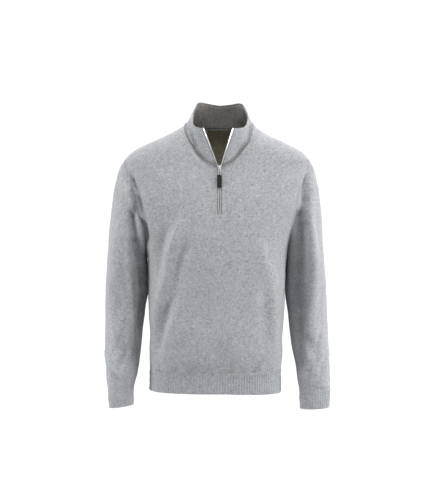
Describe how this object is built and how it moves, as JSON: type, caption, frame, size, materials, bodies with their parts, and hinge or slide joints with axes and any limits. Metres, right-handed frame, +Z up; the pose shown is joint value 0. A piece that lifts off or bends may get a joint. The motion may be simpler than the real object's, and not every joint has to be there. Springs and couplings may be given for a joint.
{
  "type": "half zip sweatshirt",
  "caption": "Grey marl half-zip sweatshirt with a stand collar, set-in sleeves and ribbed hem and cuffs, filled out as if worn.",
  "frame": {"origin": "middle of the base of the neck, level with the high points of the shoulders, where the wearer holds it up", "axes": "+Z up; the front faces -Y; +X is the viewer's right when looking at the front"},
  "size_m": [0.595, 0.2552, 0.8124],
  "materials": {
    "marl": "grey marl brushed-back sweatshirt jersey, matt",
    "rib": "grey marl rib knit, matt",
    "lining": "dark grey-brown jersey, matt",
    "tape": "woven zip tape, light grey",
    "metal": "satin silver",
    "rubber": "matt moulded, near black"
  },
  "bodies": {
    "garment": {"front_panel": "marl", "back_panel": "marl", "sleeve_left": "marl", "sleeve_right": "marl", "collar": "marl", "collar_facing": "lining", "hem_rib": "rib", "cuff_left": "rib", "cuff_right": "rib", "zip_tape_left": "tape", "zip_tape_right": "tape", "zip_slider": "metal", "zip_stop": "metal"},
    "pull": {"pull_link": "metal", "pull_tab": "rubber"}
  },
  "joints": [
    {"name": "pull_swing", "type": "hinge", "parent": "garment", "child": "pull", "pos_m": [0.0067, -0.09327, -0.11761], "axis": [-1, 0, 0], "range_deg": [0, 150]}
  ]
}
